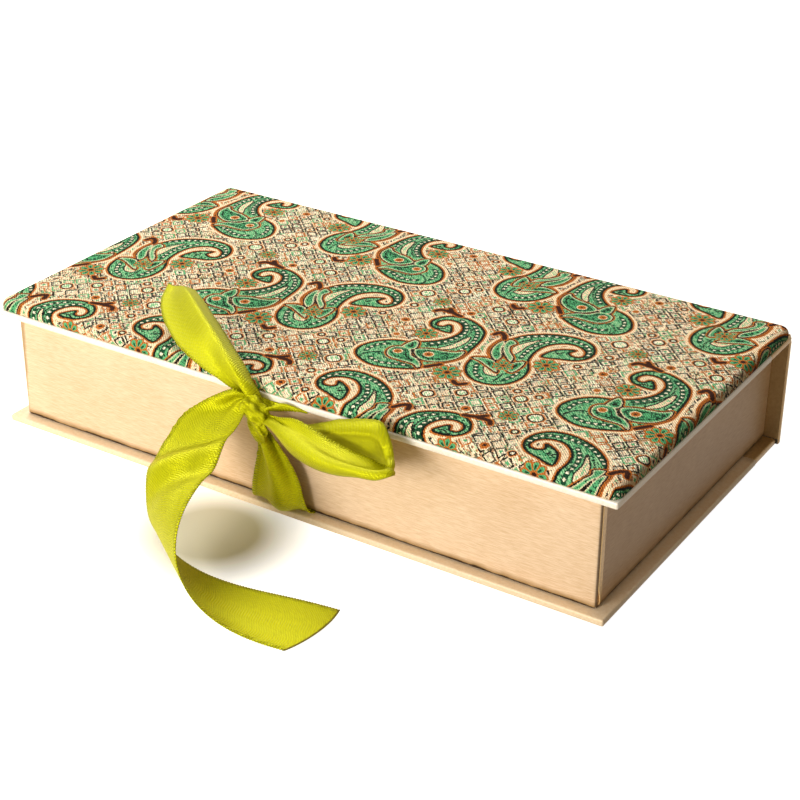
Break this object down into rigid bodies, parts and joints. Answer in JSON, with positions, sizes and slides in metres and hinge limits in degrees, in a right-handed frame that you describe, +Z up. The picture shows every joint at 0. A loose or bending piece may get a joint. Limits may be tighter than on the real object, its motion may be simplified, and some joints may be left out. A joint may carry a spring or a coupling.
{
  "type": "cutlery box",
  "caption": "Book-style rigid box with a lined tray for cutlery, a padded fabric lid on a paper hinge and a satin ribbon tied at the front.",
  "frame": {"origin": "middle of the base's underside, halfway along and halfway between the base's front edge and the spine's outer face", "axes": "+X along the front to the right, +Y from the front to the spine, +Z up"},
  "size_m": [0.2638, 0.2206, 0.0646],
  "materials": {
    "greyboard": "pressed recycled board, matt",
    "champagne_paper": "pearl cream paper, soft sheen",
    "gold_strip_paper": "deep gold paper, metallic sheen",
    "gold_paper": "brushed gold metallic paper",
    "kraft_paper": "plain kraft paper, matt",
    "lining_paper": "plain cream paper, matt",
    "foam": "thin open foam",
    "paisley_fabric": "woven cotton with a printed paisley pattern",
    "satin_ribbon": "chartreuse satin with stitched edges"
  },
  "bodies": {
    "case": {"base_board": "greyboard", "base_cover": "champagne_paper", "base_hinge_lap": "gold_strip_paper", "spine_board": "greyboard", "spine_wrap": "gold_strip_paper", "spine_liner": "gold_strip_paper", "tray_floor": "greyboard", "tray_front_wall": "greyboard", "tray_back_wall": "greyboard", "tray_left_wall": "greyboard", "tray_right_wall": "greyboard", "corner_stays": "kraft_paper", "tray_wrap": "gold_paper", "tray_lining": "lining_paper", "floor_pad": "lining_paper", "divider_front": "lining_paper", "divider_middle": "lining_paper", "divider_back": "lining_paper", "base_ribbon": "satin_ribbon"},
    "lid": {"lid_board": "greyboard", "lid_cover": "champagne_paper", "lid_hinge_lap": "gold_strip_paper", "lid_liner": "lining_paper", "pad_card": "greyboard", "pad_foam": "foam", "lid_fabric": "paisley_fabric", "lid_ribbon": "satin_ribbon", "bow_knot": "satin_ribbon", "bow_loop": "satin_ribbon", "tail_long": "satin_ribbon", "tail_short": "satin_ribbon"}
  },
  "joints": [
    {"name": "lid_hinge", "type": "hinge", "parent": "case", "child": "lid", "pos_m": [0, 0.0748, 0.0442], "axis": [-1, 0, 0], "range_deg": [0, 190]}
  ]
}
